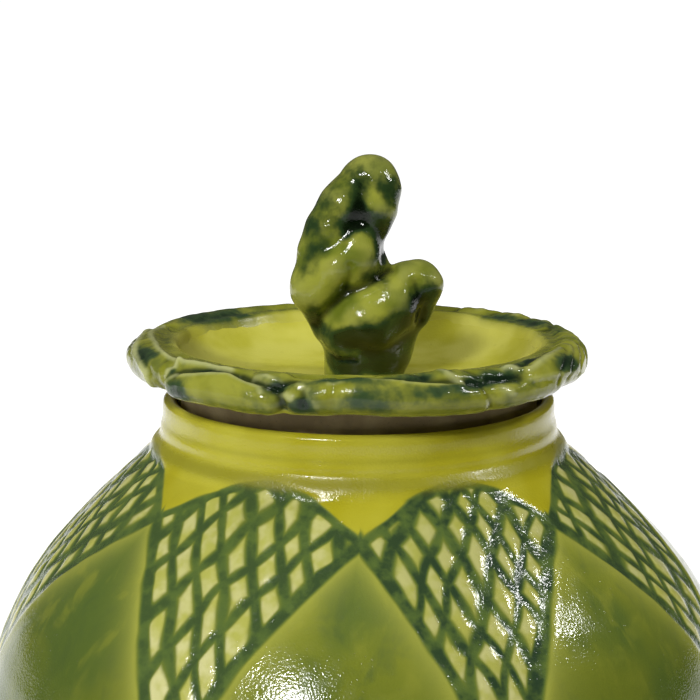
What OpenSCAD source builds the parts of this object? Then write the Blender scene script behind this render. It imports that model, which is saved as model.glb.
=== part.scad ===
// Lidded ginger jar in glazed stoneware: a round-bellied jar with a turned foot
// and a short collar, and a drop-in lid that is a shallow dish edged with lengths
// of modelled ginger root, with a ginger root knob standing in its middle.
// Millimetres. +Z is up, the origin is the centre of the foot's underside.
// Angles round the jar start at the front (-Y) and grow towards +X.

/* [Jar] */
// Widest diameter, across the belly
belly_d = 211; // [206:1:216]
// Height of the belly's widest place
belly_z = 102; // [100:1:104]
// Height of the lip above the table
lip_z = 198; // [196:1:200]
// Thickness of the thrown wall
wall = 6; // [5:0.5:7]
// Outside diameter of the foot ring
foot_d = 122; // [116:1:124]
// Height of the foot ring
foot_h = 7; // [5:1:8]

/* [Collar] */
// Height of the collar, from the shoulder to the lip
collar_h = 11; // [10:1:12]
// Outside diameter of the collar
collar_d = 108; // [107:1:109]
// Diameter of the mouth, above the ledge that carries the lid
mouth_d = 100.2; // [99.8:0.2:100.6]
// Inside diameter of the ledge
ledge_d = 88; // [86:1:90]
// Thickness of the ledge
ledge_t = 3; // [2:0.5:4]

/* [Lid] */
// Outside diameter of the unglazed flange that drops into the mouth
flange_d = 98.4; // [97:0.2:98.6]
// Height of the flange
flange_h = 13; // [12:0.5:14]
// Diameter of the dish inside its edging
dish_d = 101.6; // [101:0.2:102.4]
// Thickness of the dish's floor
dish_t = 4.5; // [4:0.5:6]
// Outside diameter over the ginger root edging, where it is narrowest
lid_d = 126.8; // [124:0.2:129]
// How far the edging swells out beyond that on its left
out_of_round = 1.4; // [0:0.1:2]
// Thickness of the edging from top to bottom
root_t = 10.9; // [9:0.1:12]

/* [Knob] */
// Height of the knob above the dish's floor
knob_h = 61; // [55:1:68]
// Girth of the knob's lobes, as a share of the usual one
knob_girth = 1; // [0.9:0.05:1.1]

/* [Hidden] */

$fn = 96;

// Glaze and clay colours
leaf_glaze = [0.47, 0.50, 0.18];
lime_glaze = [0.66, 0.64, 0.22];
dark_glaze = [0.29, 0.35, 0.16];
pale_glaze = [0.73, 0.71, 0.33];
bare_clay = [0.42, 0.38, 0.28];

// Heights that the pieces share
collar_z = lip_z - collar_h;
seat_z = collar_z + ledge_t;
dish_under_z = seat_z + flange_h;
dish_floor_z = dish_under_z - 1;
root_z = dish_under_z + 0.4 + root_t / 2;

// The pot's outline is three arcs that run on smoothly: a long one from the foot
// up to the belly, a tight one round the belly, and a nearly straight one up
// the shoulder, which takes over once the outline has turned by shoulder_turn
belly_arc_r = 82;
shoulder_arc_r = 325;
shoulder_turn = 42;
foot_out = foot_d / 2 - 1;
belly_out = belly_d / 2 - foot_out;
base_arc_r = (pow(belly_z - foot_h, 2) + pow(belly_out, 2)) / (2 * belly_out);
base_centre = [belly_d / 2 - base_arc_r, belly_z];
belly_centre = [belly_d / 2 - belly_arc_r, belly_z];
shoulder_centre = belly_centre
    - (shoulder_arc_r - belly_arc_r) * [cos(shoulder_turn), sin(shoulder_turn)];

// Points on an arc of radius r about c, from angle a0 to angle a1
function arc(c, r, a0, a1, steps = 8) =
    [for (i = [0:steps])
        let (a = a0 + (a1 - a0) * i / steps)
        c + r * [cos(a), sin(a)]];

// Outline of the pot moved inward by t, from height z0 up to the collar
function pot_line(z0, t) =
    let (top = asin((collar_z - shoulder_centre[1]) / (shoulder_arc_r - t)))
    concat(
        arc(base_centre, base_arc_r - t, asin((z0 - belly_z) / (base_arc_r - t)), -3, 18),
        arc(belly_centre, belly_arc_r - t, 0, shoulder_turn, 14),
        arc(shoulder_centre, shoulder_arc_r - t, shoulder_turn + 1, top, 8)
    );

function reversed(list) = [for (i = [len(list) - 1:-1:0]) list[i]];

// Thrown belly and shoulder, open at the top, with a flat floor
module jar_body() {
    floor_t = wall + 1;
    color(leaf_glaze)
        rotate_extrude()
            polygon(concat(
                [[0, foot_h]],
                pot_line(foot_h, 0),
                reversed(pot_line(foot_h + floor_t, wall)),
                [[0, foot_h + floor_t]]
            ));
}

// Turned ring that the jar stands on, its outer edges eased
module foot_ring() {
    ring_w = 10;
    ease = 1.5;
    inner = foot_out - ring_w;
    color(leaf_glaze)
        rotate_extrude()
            polygon(concat(
                [[inner, foot_h], [inner, ease]],
                arc([inner + ease, ease], ease, 180, 270),
                arc([foot_out - ease, ease], ease, 270, 360),
                [[foot_out, foot_h]]
            ));
}

// Short upright collar with a soft ridge low down, a rounded lip, and the
// ledge inside it that carries the lid
module neck_collar() {
    outer = collar_d / 2;
    mouth = mouth_d / 2;
    lip_r = 1.8;
    ridge_z = collar_z + 2.8;
    ridge_r = 1.3;
    color(lime_glaze)
        rotate_extrude()
            polygon(concat(
                [[ledge_d / 2, collar_z], [outer - 0.4, collar_z]],
                arc([outer - 0.8, ridge_z], ridge_r, -60, 60),
                arc([outer - 0.6 - lip_r, lip_z - lip_r], lip_r, 0, 90),
                arc([mouth + lip_r, lip_z - lip_r], lip_r, 90, 180),
                [[mouth, seat_z], [ledge_d / 2, seat_z]]
            ));
}

// Unglazed ring under the lid: it drops into the mouth and stands on the ledge
module lid_flange() {
    flange_t = 4.3;
    ease = 0.8;
    outer = flange_d / 2;
    inner = outer - flange_t;
    color(bare_clay)
        rotate_extrude()
            polygon([
                [inner, seat_z], [outer - ease, seat_z], [outer, seat_z + ease],
                [outer, dish_under_z], [inner, dish_under_z]
            ]);
}

// Shallow dish, its wall curling up to the edging, with a low boss underneath
// that sits inside the flange
module lid_dish() {
    outer = dish_d / 2;
    boss_r = flange_d / 2 - 4.8;
    well_r = 30;
    rise = root_t;
    edge_t = 1.2;
    color(pale_glaze)
        rotate_extrude()
            polygon(concat(
                [[0, dish_floor_z - dish_t], [boss_r, dish_floor_z - dish_t],
                 [boss_r, dish_under_z], [outer, dish_under_z],
                 [outer, dish_floor_z + rise]],
                [for (a = [90:-9:0])
                    [well_r + (outer - edge_t - well_r) * sin(a),
                     dish_floor_z + rise * (1 - cos(a))]],
                [[0, dish_floor_z]]
            ));
}

// Solid through a list of rings, each a closed list of the same number of
// points, with flat ends
module loft(rings) {
    n = len(rings[0]);
    last = len(rings) - 1;
    polyhedron(
        points = [for (ring = rings) each ring],
        faces = concat(
            [[for (k = [0:n - 1]) k]],
            [for (i = [0:last - 1], k = [0:n - 1])
                let (a = i * n + k, b = i * n + (k + 1) % n)
                each [[a, a + n, b + n], [a, b + n, b]]],
            [[for (k = [n - 1:-1:0]) last * n + k]]
        ),
        convexity = 4
    );
}

// Where each length of ginger root starts round the edge, and how much it swells
root_starts = [-112, -66, -19, 34, 88, 140, 214];
root_swells = [0.05, 0.09, 0.07, 0.06, 0.04, 0.06, 0.05];
root_back_r = dish_d / 2 + 0.25;

// Breadth of the edging at angle a, largest a little behind the left side
function root_reach(a) =
    lid_d / 2 - root_back_r + out_of_round * pow(max(0, -sin(a + 10)), 4);

// Section of a root at angle a, its size scaled by s: a rounded bar with a
// straight back against the dish
function root_ring(a, s) =
    let (sides = 16, reach = root_reach(a), mid_r = root_back_r + reach * 0.46)
    [for (k = [0:sides - 1])
        let (b = 360 * k / sides,
             r = max(root_back_r, mid_r + reach * (0.54 * s) * cos(b)
                     - (cos(b) < 0 ? reach * 0.1 : 0)),
             z = root_z + root_t / 2 * s * sin(b))
        [r * sin(a), -r * cos(a), z]];

// Length number i of the edging: swollen in the middle, with eased ends that
// meet the next lengths face to face
module rim_root(i) {
    count = len(root_starts);
    a0 = root_starts[i];
    a1 = i + 1 < count ? root_starts[i + 1] : root_starts[0] + 360;
    steps = 14;
    end_ease = 3;
    color(i % 2 == 0 ? leaf_glaze : dark_glaze)
        loft([for (j = [0:steps])
            let (u = (1 - cos(180 * j / steps)) / 2,
                 a = a0 + (a1 - a0) * u,
                 from_end = min(a - a0, a1 - a),
                 tip = 1 - min(1, from_end / end_ease),
                 swell = root_swells[i] * sin(180 * u) * cos(540 * u))
            root_ring(a, (0.95 + swell) * (1 - 0.22 * tip * tip))]);
}

// Point and radius at share u along a list of [x, y, z, r] stations, on a
// curve that passes smoothly through every station
function along(stations, u) =
    let (last = len(stations) - 1,
         i = min(floor(u * last), last - 1),
         t = u * last - i,
         p0 = stations[max(i - 1, 0)],
         p1 = stations[i],
         p2 = stations[i + 1],
         p3 = stations[min(i + 2, last)])
    0.5 * (2 * p1 + (p2 - p0) * t + (2 * p0 - 5 * p1 + 4 * p2 - p3) * t * t
           + (3 * p1 - p0 - 3 * p2 + p3) * t * t * t);

function place(s) = [s[0], s[1], s[2]];

// Swollen lobe of ginger root that follows its stations. Heights in the
// stations are above the dish's floor, on a knob of the usual height. The tip
// is rounded, and so is the foot of the lobe unless flat_foot is set.
module lobe(stations, flat_foot = false) {
    sides = 20;
    steps = 16;
    h = knob_h / 61;
    start = place(stations[0]);
    end = place(stations[len(stations) - 1]);
    loft([for (j = [0:steps])
        let (u = (1 - cos(180 * j / steps)) / 2,
             s = along(stations, u),
             ahead = place(along(stations, min(u + 0.01, 1))),
             behind = place(along(stations, max(u - 0.01, 0))),
             dir = u < 0.01 && flat_foot ? [0, 0, 1] : (ahead - behind) / norm(ahead - behind),
             across = cross(dir, [0, 1, 0]) / norm(cross(dir, [0, 1, 0])),
             other = cross(dir, across),
             d_foot = flat_foot ? s[3] : norm(place(s) - start) + 0.4,
             d_tip = norm(place(s) - end) + 0.4,
             d = min(1, min(d_foot, d_tip) / s[3]),
             r = s[3] * knob_girth * sqrt(1 - (1 - d) * (1 - d)))
        [for (k = [0:sides - 1])
            let (b = 360 * k / sides,
                 p = place(s) + r * (cos(b) * across + sin(b) * other))
            [p[0], p[1], dish_floor_z + max(0, p[2] * h)]]]);
}

module stem_shape() {
    lobe([
        [1, 0, 0, 11.5], [1.5, 0, 5, 11], [2.5, 0, 11, 12.5], [2, 0, 17, 13.5],
        [1, 0, 23, 12.5], [0, 0, 32, 10]
    ], flat_foot = true);
}

module finger_shape() {
    lobe([
        [-9, -1, 14, 10], [-6.8, -1, 24, 11.6], [-4.6, 0, 34, 11.4],
        [-2, 0, 43, 11], [1.6, 0, 51, 10.2], [2.6, 0, 61, 8.6]
    ]);
}

module bud_shape() {
    lobe([
        [-9, -4, 10, 8], [0, -6, 15, 11.5], [8, -5, 20, 11], [14.5, -2, 24, 9.4],
        [20.5, -1, 30, 8.6]
    ]);
}

// Lower part of the knob, its foot luted flat to the dish
module knob_stem() {
    color(dark_glaze) stem_shape();
}

// Tall upper lobe, leaning over the jar's left side
module knob_finger() {
    color(leaf_glaze)
        difference() {
            finger_shape();
            stem_shape();
        }
}

// Side lobe that crosses the stem's front and ends in a bud
module knob_bud() {
    color(lime_glaze)
        difference() {
            bud_shape();
            stem_shape();
            finger_shape();
        }
}

jar_body();
foot_ring();
neck_collar();
lid_flange();
lid_dish();
rim_root(0);  // rim_root_1
rim_root(1);  // rim_root_2
rim_root(2);  // rim_root_3
rim_root(3);  // rim_root_4
rim_root(4);  // rim_root_5
rim_root(5);  // rim_root_6
rim_root(6);  // rim_root_7
knob_stem();
knob_finger();
knob_bud();
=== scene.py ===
import math

import bpy
import numpy as np
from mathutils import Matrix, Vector


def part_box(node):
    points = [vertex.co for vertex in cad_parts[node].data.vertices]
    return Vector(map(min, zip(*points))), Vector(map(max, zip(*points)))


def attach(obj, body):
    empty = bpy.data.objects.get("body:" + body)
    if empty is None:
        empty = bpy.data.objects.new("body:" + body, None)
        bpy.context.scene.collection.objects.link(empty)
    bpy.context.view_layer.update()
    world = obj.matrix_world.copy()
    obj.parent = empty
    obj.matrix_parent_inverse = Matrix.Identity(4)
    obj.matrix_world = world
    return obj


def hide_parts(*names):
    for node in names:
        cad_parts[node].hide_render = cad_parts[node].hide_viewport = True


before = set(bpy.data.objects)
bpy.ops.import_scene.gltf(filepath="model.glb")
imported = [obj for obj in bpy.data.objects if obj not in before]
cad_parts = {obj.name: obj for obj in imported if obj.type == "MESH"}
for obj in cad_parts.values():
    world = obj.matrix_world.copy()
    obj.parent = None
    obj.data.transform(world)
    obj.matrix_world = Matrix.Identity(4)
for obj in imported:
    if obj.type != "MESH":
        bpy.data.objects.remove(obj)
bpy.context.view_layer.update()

# Lengths in this script are millimetres until a mesh or a light is made.
MM = 0.001


# ---------------------------------------------------------------- camera, light

# Strength of the light from a direction, as ramps: from, to, amount
AIR_EVERYWHERE = 0.035
AIR_BEHIND = (0.3, 0.95, 0.22)
AIR_LEFT = (-0.2, -0.95, 0.22)
AIR_ABOVE = (0.3, 1.0, 0.14)
# Share of that light which shows as a reflection
AIR_MIRRORED = 0.2
# Metres behind the jar's axis over which the floor's own light comes up
FLOOR_GLOW = (0.0, 0.24, 0.97)

LENS = 83.9
PITCH = 10.71
LOOK_AT_Z = 209.3
CAMERA_RANGE = 450.0
CAMERA_X = -2.38

# The lights stand this far from a point inside the shoulder and face it
LIGHT_RANGE = 1500.0
LIGHTS_AIM = (0.0, 0.0, 170.0)
# Name, direction, width and height in mm, watts, and whether the glaze mirrors it
LIGHTS = [
    ("right_softbox", (0.71, -0.065, 0.647), 150, 190, 4.5, True),
    ("right_card", (0.71, -0.065, 0.75), 300, 300, 2.8, False),
    ("left_softbox", (-0.325, -0.725, 0.61), 265, 240, 10.5, True),
    ("left_card", (-0.93, -0.30, 0.16), 900, 900, 4.2, False),
    ("fill", (-0.25, -0.65, 0.72), 700, 600, 4.5, False),
]
FLOOR_REACH = 3000.0
FLOOR_GREY = 0.65


def make_camera():
    pitch = math.radians(PITCH)
    data = bpy.data.cameras.new("camera")
    data.lens = LENS
    data.sensor_width = 36.0
    camera = bpy.data.objects.new("camera", data)
    camera.location = (
        CAMERA_X * MM,
        -CAMERA_RANGE * math.cos(pitch) * MM,
        (LOOK_AT_Z + CAMERA_RANGE * math.sin(pitch)) * MM,
    )
    camera.rotation_euler = (math.pi / 2 - pitch, 0.0, 0.0)
    bpy.context.scene.collection.objects.link(camera)
    bpy.context.scene.camera = camera


def make_light(name, direction, width, height, watts, mirrored):
    """Area light that faces the shoulder.

    One that is not mirrored lights the jar but shows no reflection in the glaze.
    """
    unit = np.array(direction, float) / np.linalg.norm(direction)
    data = bpy.data.lights.new(name, "AREA")
    data.shape = "RECTANGLE"
    data.size = width * MM
    data.size_y = height * MM
    data.energy = watts
    light = bpy.data.objects.new(name, data)
    light.location = (np.array(LIGHTS_AIM) + unit * LIGHT_RANGE) * MM
    light.rotation_euler = Vector(unit).to_track_quat("Z", "Y").to_euler()
    light.visible_glossy = mirrored
    bpy.context.scene.collection.objects.link(light)


def add_ramp(nodes, links, source, low, high, amount, start=0.0):
    """Light that goes from start at low to this amount at high."""
    ramp = nodes.new("ShaderNodeMapRange")
    ramp.interpolation_type = "SMOOTHSTEP"
    ramp.inputs["From Min"].default_value = low
    ramp.inputs["From Max"].default_value = high
    ramp.inputs["To Min"].default_value = start
    ramp.inputs["To Max"].default_value = amount
    links.new(source, ramp.inputs["Value"])
    return ramp.outputs[0]


def make_world():
    """Dim studio air, brighter behind, above and on the left; white to the eye."""
    world = bpy.data.worlds.new("studio")
    bpy.context.scene.world = world
    world.use_nodes = True
    nodes, links = world.node_tree.nodes, world.node_tree.links
    nodes.clear()
    out = nodes.new("ShaderNodeOutputWorld")
    mix = nodes.new("ShaderNodeMixShader")
    seen = nodes.new("ShaderNodeBackground")
    seen.inputs["Color"].default_value = (1, 1, 1, 1)
    seen.inputs["Strength"].default_value = 1.05
    air = nodes.new("ShaderNodeBackground")
    path = nodes.new("ShaderNodeLightPath")
    place = nodes.new("ShaderNodeTexCoord")
    split = nodes.new("ShaderNodeSeparateXYZ")
    links.new(place.outputs["Generated"], split.inputs[0])
    parts = [
        add_ramp(nodes, links, split.outputs["Y"], *AIR_BEHIND),
        add_ramp(nodes, links, split.outputs["X"], *AIR_LEFT),
        add_ramp(nodes, links, split.outputs["Z"], *AIR_ABOVE),
    ]
    total = None
    for part in parts:
        add = nodes.new("ShaderNodeMath")
        add.operation = "ADD"
        add.inputs[1].default_value = AIR_EVERYWHERE
        links.new(part, add.inputs[0])
        if total is not None:
            links.new(total, add.inputs[1])
        total = add.outputs[0]
    links.new(total, air.inputs["Color"])
    dim = add_ramp(nodes, links, path.outputs["Is Glossy Ray"], 0.0, 1.0, AIR_MIRRORED, start=1.0)
    links.new(dim, air.inputs["Strength"])
    links.new(path.outputs["Is Camera Ray"], mix.inputs["Fac"])
    links.new(air.outputs[0], mix.inputs[1])
    links.new(seen.outputs[0], mix.inputs[2])
    links.new(mix.outputs[0], out.inputs["Surface"])


def make_floor():
    """Pale floor, glowing behind the jar so that from the front it runs into the white."""
    mesh = bpy.data.meshes.new("floor")
    reach = FLOOR_REACH * MM
    corners = [(-reach, -reach, 0), (reach, -reach, 0), (reach, reach, 0), (-reach, reach, 0)]
    mesh.from_pydata(corners, [], [(0, 1, 2, 3)])
    floor = bpy.data.objects.new("floor", mesh)
    bpy.context.scene.collection.objects.link(floor)
    material = bpy.data.materials.new("pale_floor")
    material.use_nodes = True
    nodes, links = material.node_tree.nodes, material.node_tree.links
    shader = nodes["Principled BSDF"]
    shader.inputs["Base Color"].default_value = (FLOOR_GREY, FLOOR_GREY, FLOOR_GREY, 1)
    shader.inputs["Roughness"].default_value = 0.9
    shader.inputs["Specular IOR Level"].default_value = 0.0
    shader.inputs["Emission Color"].default_value = (1, 1, 1, 1)
    place = nodes.new("ShaderNodeTexCoord")
    split = nodes.new("ShaderNodeSeparateXYZ")
    links.new(place.outputs["Object"], split.inputs[0])
    glow = add_ramp(nodes, links, split.outputs["Y"], *FLOOR_GLOW)
    links.new(glow, shader.inputs["Emission Strength"])
    mesh.materials.append(material)


# ------------------------------------------------------------------ small tools

def ease(x, low, high):
    """0 below low, 1 above high, with a smooth turn between."""
    t = np.clip((x - low) / (high - low), 0.0, 1.0)
    return t * t * (3.0 - 2.0 * t)


def hump(x, width):
    """Smooth hump of height 1 at x = 0."""
    return np.exp(-(x / width) ** 2)


def melt(a, b, softness):
    """Smaller of two distances, with a rounded fillet where they meet."""
    blend = np.clip(1.0 - np.abs(a - b) / softness, 0.0, None)
    return np.minimum(a, b) - softness * blend**2 / 4.0


def ripple(points, size, seed, waves=22):
    """Smooth noise of about -1 to 1 with features of about this size."""
    draw = np.random.default_rng(seed)
    ways = draw.normal(size=(waves, 3))
    ways /= np.linalg.norm(ways, axis=1)[:, None]
    lengths = size * draw.uniform(1.4, 3.4, waves)
    phases = draw.uniform(0.0, 2.0 * math.pi, waves)
    total = np.zeros(points.shape[:-1])
    for way, length, phase in zip(ways, lengths, phases):
        total += np.sin(points @ way * (2.0 * math.pi / length) + phase)
    return total / math.sqrt(2.0 * waves)


def curve_through(x, knots):
    """Values of a smooth curve through the knots, rows of [x, value, ...]."""
    knots = np.array(knots, float)
    xs = knots[:, 0]
    i = np.clip(np.searchsorted(xs, x, side="right") - 1, 0, len(xs) - 2)
    span = xs[i + 1] - xs[i]
    t = np.clip((x - xs[i]) / span, 0.0, 1.0)[..., None]
    slopes = np.gradient(knots[:, 1:], xs, axis=0)
    p, q = knots[i, 1:], knots[i + 1, 1:]
    m, n = slopes[i] * span[..., None], slopes[i + 1] * span[..., None]
    return (
        (2 * t**3 - 3 * t**2 + 1) * p
        + (t**3 - 2 * t**2 + t) * m
        + (3 * t**2 - 2 * t**3) * q
        + (t**3 - t**2) * n
    )


def bell(width):
    """Weights of a blur of this width, in samples."""
    reach = int(3 * width)
    weights = hump(np.arange(-reach, reach + 1), width * math.sqrt(2.0))
    return weights / weights.sum()


def soften(field, rows, columns):
    """field blurred along its rows and round its closed columns, in samples."""
    if rows > 0:
        weights = bell(rows)
        edge = len(weights) // 2
        padded = np.pad(field, ((edge, edge), (0, 0)), mode="edge")
        field = sum(w * padded[k : k + field.shape[0]] for k, w in enumerate(weights))
    if columns > 0:
        weights = bell(columns)
        middle = len(weights) // 2
        field = sum(w * np.roll(field, k - middle, axis=1) for k, w in enumerate(weights))
    return field


def from_segment(u, v, du, dv):
    """Distance of (u, v) from the segment (0, 0) to (du, dv), and the share along it."""
    t = np.clip((u * du + v * dv) / (du * du + dv * dv), 0.0, 1.0)
    return np.hypot(u - t * du, v - t * dv), t


def spaced(path, step):
    """Points a step apart along a polyline, its ends kept."""
    path = np.array(path, float)
    lengths = np.concatenate([[0.0], np.cumsum(np.linalg.norm(np.diff(path, axis=0), axis=1))])
    count = max(2, int(round(lengths[-1] / step)) + 1)
    at = np.linspace(0.0, lengths[-1], count)
    return np.stack([np.interp(at, lengths, path[:, k]) for k in (0, 1)], 1)


def arc(centre, radius, start, end, count=40):
    turns = np.radians(np.linspace(start, end, count))
    return np.stack([centre[0] + radius * np.cos(turns), centre[1] + radius * np.sin(turns)], 1)


def rounded(corners, steps=10):
    """Smooth path through the corner points, in equal steps between them."""
    corners = np.array(corners, float)
    knots = np.column_stack([np.arange(len(corners)), corners])
    return curve_through(np.linspace(0, len(corners) - 1, (len(corners) - 1) * steps + 1), knots)


class Builder:
    """Collects the points, faces and fields of one piece."""

    def __init__(self, fields):
        self.points, self.quads, self.tris = [], [], []
        self.fields = {name: [] for name in fields}
        self.count = 0

    def add_points(self, points, fields):
        points = np.asarray(points, float).reshape(-1, 3)
        first = self.count
        self.points.append(points)
        for name, parts in self.fields.items():
            value = np.asarray(fields.get(name, 0.0), float)
            parts.append(np.broadcast_to(value.reshape(-1), (len(points),)))
        self.count += len(points)
        return np.arange(first, self.count)

    def add_grid(self, points, fields):
        """Rows of closed rings, joined. Returns the first and last ring."""
        rows, columns = points.shape[:2]
        index = self.add_points(points, fields).reshape(rows, columns)
        for k in range(rows - 1):
            self.join(index[k], index[k + 1])
        return index[0], index[-1]

    def join(self, low, high):
        """Faces between two rings of the same size, or one of half the size."""
        if len(low) == len(high):
            self.quads.append(np.stack([low, np.roll(low, -1), np.roll(high, -1), high], 1))
            return
        fine, coarse, flip = (low, high, False) if len(low) > len(high) else (high, low, True)
        a, b, c = fine[0::2], fine[1::2], np.roll(fine[0::2], -1)
        p, q = coarse, np.roll(coarse, -1)
        tris = np.concatenate([np.stack(corners, 1) for corners in ([a, b, p], [b, q, p], [b, c, q])])
        self.tris.append(tris[:, ::-1] if flip else tris)

    def close(self, ring, point, fields, last):
        """Fan from a ring to a point on the axis."""
        tip = self.add_points([point], fields)[0]
        after = np.roll(ring, -1)
        tips = np.full(len(ring), tip)
        fan = [ring, after, tips] if last else [after, ring, tips]
        self.tris.append(np.stack(fan, 1))

    def make(self, name):
        points = np.concatenate(self.points) * MM
        quads = np.concatenate(self.quads)
        tris = np.concatenate(self.tris) if self.tris else np.zeros((0, 3), int)
        mesh = bpy.data.meshes.new(name)
        mesh.vertices.add(len(points))
        mesh.vertices.foreach_set("co", points.astype(np.float32).ravel())
        corners = np.concatenate([quads.ravel(), tris.ravel()]).astype(np.int32)
        mesh.loops.add(len(corners))
        mesh.loops.foreach_set("vertex_index", corners)
        mesh.polygons.add(len(quads) + len(tris))
        starts = np.concatenate([np.arange(len(quads)) * 4, len(quads) * 4 + np.arange(len(tris)) * 3])
        mesh.polygons.foreach_set("loop_start", starts.astype(np.int32))
        mesh.update(calc_edges=True)
        mesh.validate()
        mesh.shade_smooth()
        for field, parts in self.fields.items():
            layer = mesh.attributes.new(field, "FLOAT", "POINT")
            layer.data.foreach_set("value", np.concatenate(parts).astype(np.float32))
        piece = bpy.data.objects.new(name, mesh)
        bpy.context.scene.collection.objects.link(piece)
        return piece


def ring_points(radius, height, degrees):
    """Points at these radii and heights, turned from the front towards +X."""
    radius, height, turn = np.broadcast_arrays(radius, height, np.radians(degrees))
    return np.stack([radius * np.sin(turn), -radius * np.cos(turn), height], -1)


# ------------------------------------------------------------------- glazes

def srgb(red, green, blue):
    """Linear colour of a 0 to 255 display colour."""
    def one(value):
        value /= 255.0
        return value / 12.92 if value <= 0.04045 else ((value + 0.055) / 1.055) ** 2.4
    return (one(red), one(green), one(blue))


class Paint:
    """Short ways to add the nodes of one material."""

    def __init__(self, name):
        self.material = bpy.data.materials.new(name)
        self.material.use_nodes = True
        self.nodes = self.material.node_tree.nodes
        self.links = self.material.node_tree.links
        self.shader = self.nodes["Principled BSDF"]
        self.place = self.nodes.new("ShaderNodeTexCoord").outputs["Object"]

    def field(self, name):
        node = self.nodes.new("ShaderNodeAttribute")
        node.attribute_name = name
        return node.outputs["Fac"]

    def sized(self, kind, size_mm, stretch=(1, 1, 1)):
        """Texture node whose features are about this size on the piece."""
        spread = self.nodes.new("ShaderNodeMapping")
        spread.inputs["Scale"].default_value = tuple(s * 1000.0 / size_mm for s in stretch)
        node = self.nodes.new(kind)
        node.inputs["Scale"].default_value = 1.0
        self.links.new(self.place, spread.inputs["Vector"])
        self.links.new(spread.outputs["Vector"], node.inputs["Vector"])
        return node

    def noise(self, size_mm, detail=3.0, roughness=0.5, stretch=(1, 1, 1), distortion=0.0):
        node = self.sized("ShaderNodeTexNoise", size_mm, stretch)
        node.inputs["Detail"].default_value = detail
        node.inputs["Roughness"].default_value = roughness
        node.inputs["Distortion"].default_value = distortion
        return node.outputs["Fac"]

    def cells(self, size_mm):
        return self.sized("ShaderNodeTexVoronoi", size_mm).outputs["Distance"]

    def plug(self, value, socket):
        if isinstance(value, (int, float)):
            socket.default_value = value
        elif isinstance(value, tuple):
            socket.default_value = (*value, 1.0)
        else:
            self.links.new(value, socket)

    def math(self, operation, a, b):
        node = self.nodes.new("ShaderNodeMath")
        node.operation = operation
        self.plug(a, node.inputs[0])
        self.plug(b, node.inputs[1])
        return node.outputs[0]

    def between(self, value, low, high, to_low=0.0, to_high=1.0):
        node = self.nodes.new("ShaderNodeMapRange")
        node.interpolation_type = "SMOOTHSTEP"
        self.plug(value, node.inputs["Value"])
        node.inputs["From Min"].default_value = low
        node.inputs["From Max"].default_value = high
        node.inputs["To Min"].default_value = to_low
        node.inputs["To Max"].default_value = to_high
        return node.outputs[0]

    def mix(self, share, a, b):
        node = self.nodes.new("ShaderNodeMix")
        node.data_type = "RGBA"
        self.plug(share, node.inputs["Factor"])
        self.plug(a, node.inputs["A"])
        self.plug(b, node.inputs["B"])
        return node.outputs["Result"]

    def patchy(self, size_mm, detail, one, other):
        """Two display colours in soft patches."""
        share = self.between(self.noise(size_mm, detail), 0.35, 0.65)
        return self.mix(share, srgb(*one), srgb(*other))

    def tint(self, colour, shade, where, *ramp):
        """colour with a display colour over it where a value, or its ramp, says so."""
        share = self.between(where, *ramp) if ramp else where
        return self.mix(share, colour, srgb(*shade))

    def bump(self, height, depth_mm, under=None):
        node = self.nodes.new("ShaderNodeBump")
        node.inputs["Strength"].default_value = 1.0
        node.inputs["Distance"].default_value = depth_mm * MM
        self.plug(height, node.inputs["Height"])
        if under is not None:
            self.links.new(under, node.inputs["Normal"])
        return node.outputs["Normal"]

    def glaze_surface(self, colour, roughness_low=0.06, roughness_high=0.16, under=None):
        """Glassy coat over the colour, its skin faintly dimpled."""
        self.plug(colour, self.shader.inputs["Base Color"])
        rough = self.between(self.noise(4.0, 3.0), 0.3, 0.7, roughness_low, roughness_high)
        self.plug(rough, self.shader.inputs["Roughness"])
        self.shader.inputs["IOR"].default_value = 1.5
        skin = self.bump(self.noise(5.0, 1.0), 0.06, under=under)
        peel = self.bump(self.noise(0.62, 1.0), 0.07, under=skin)
        pits = self.between(self.cells(1.5), 0.02, 0.16)
        self.links.new(self.bump(pits, 0.035, under=peel), self.shader.inputs["Normal"])

    def dull(self, where, amount):
        """Rougher skin where a field says so."""
        rough = self.shader.inputs["Roughness"].links[0].from_socket
        rougher = self.math("ADD", rough, self.math("MULTIPLY", where, amount))
        self.plug(rougher, self.shader.inputs["Roughness"])


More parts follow.
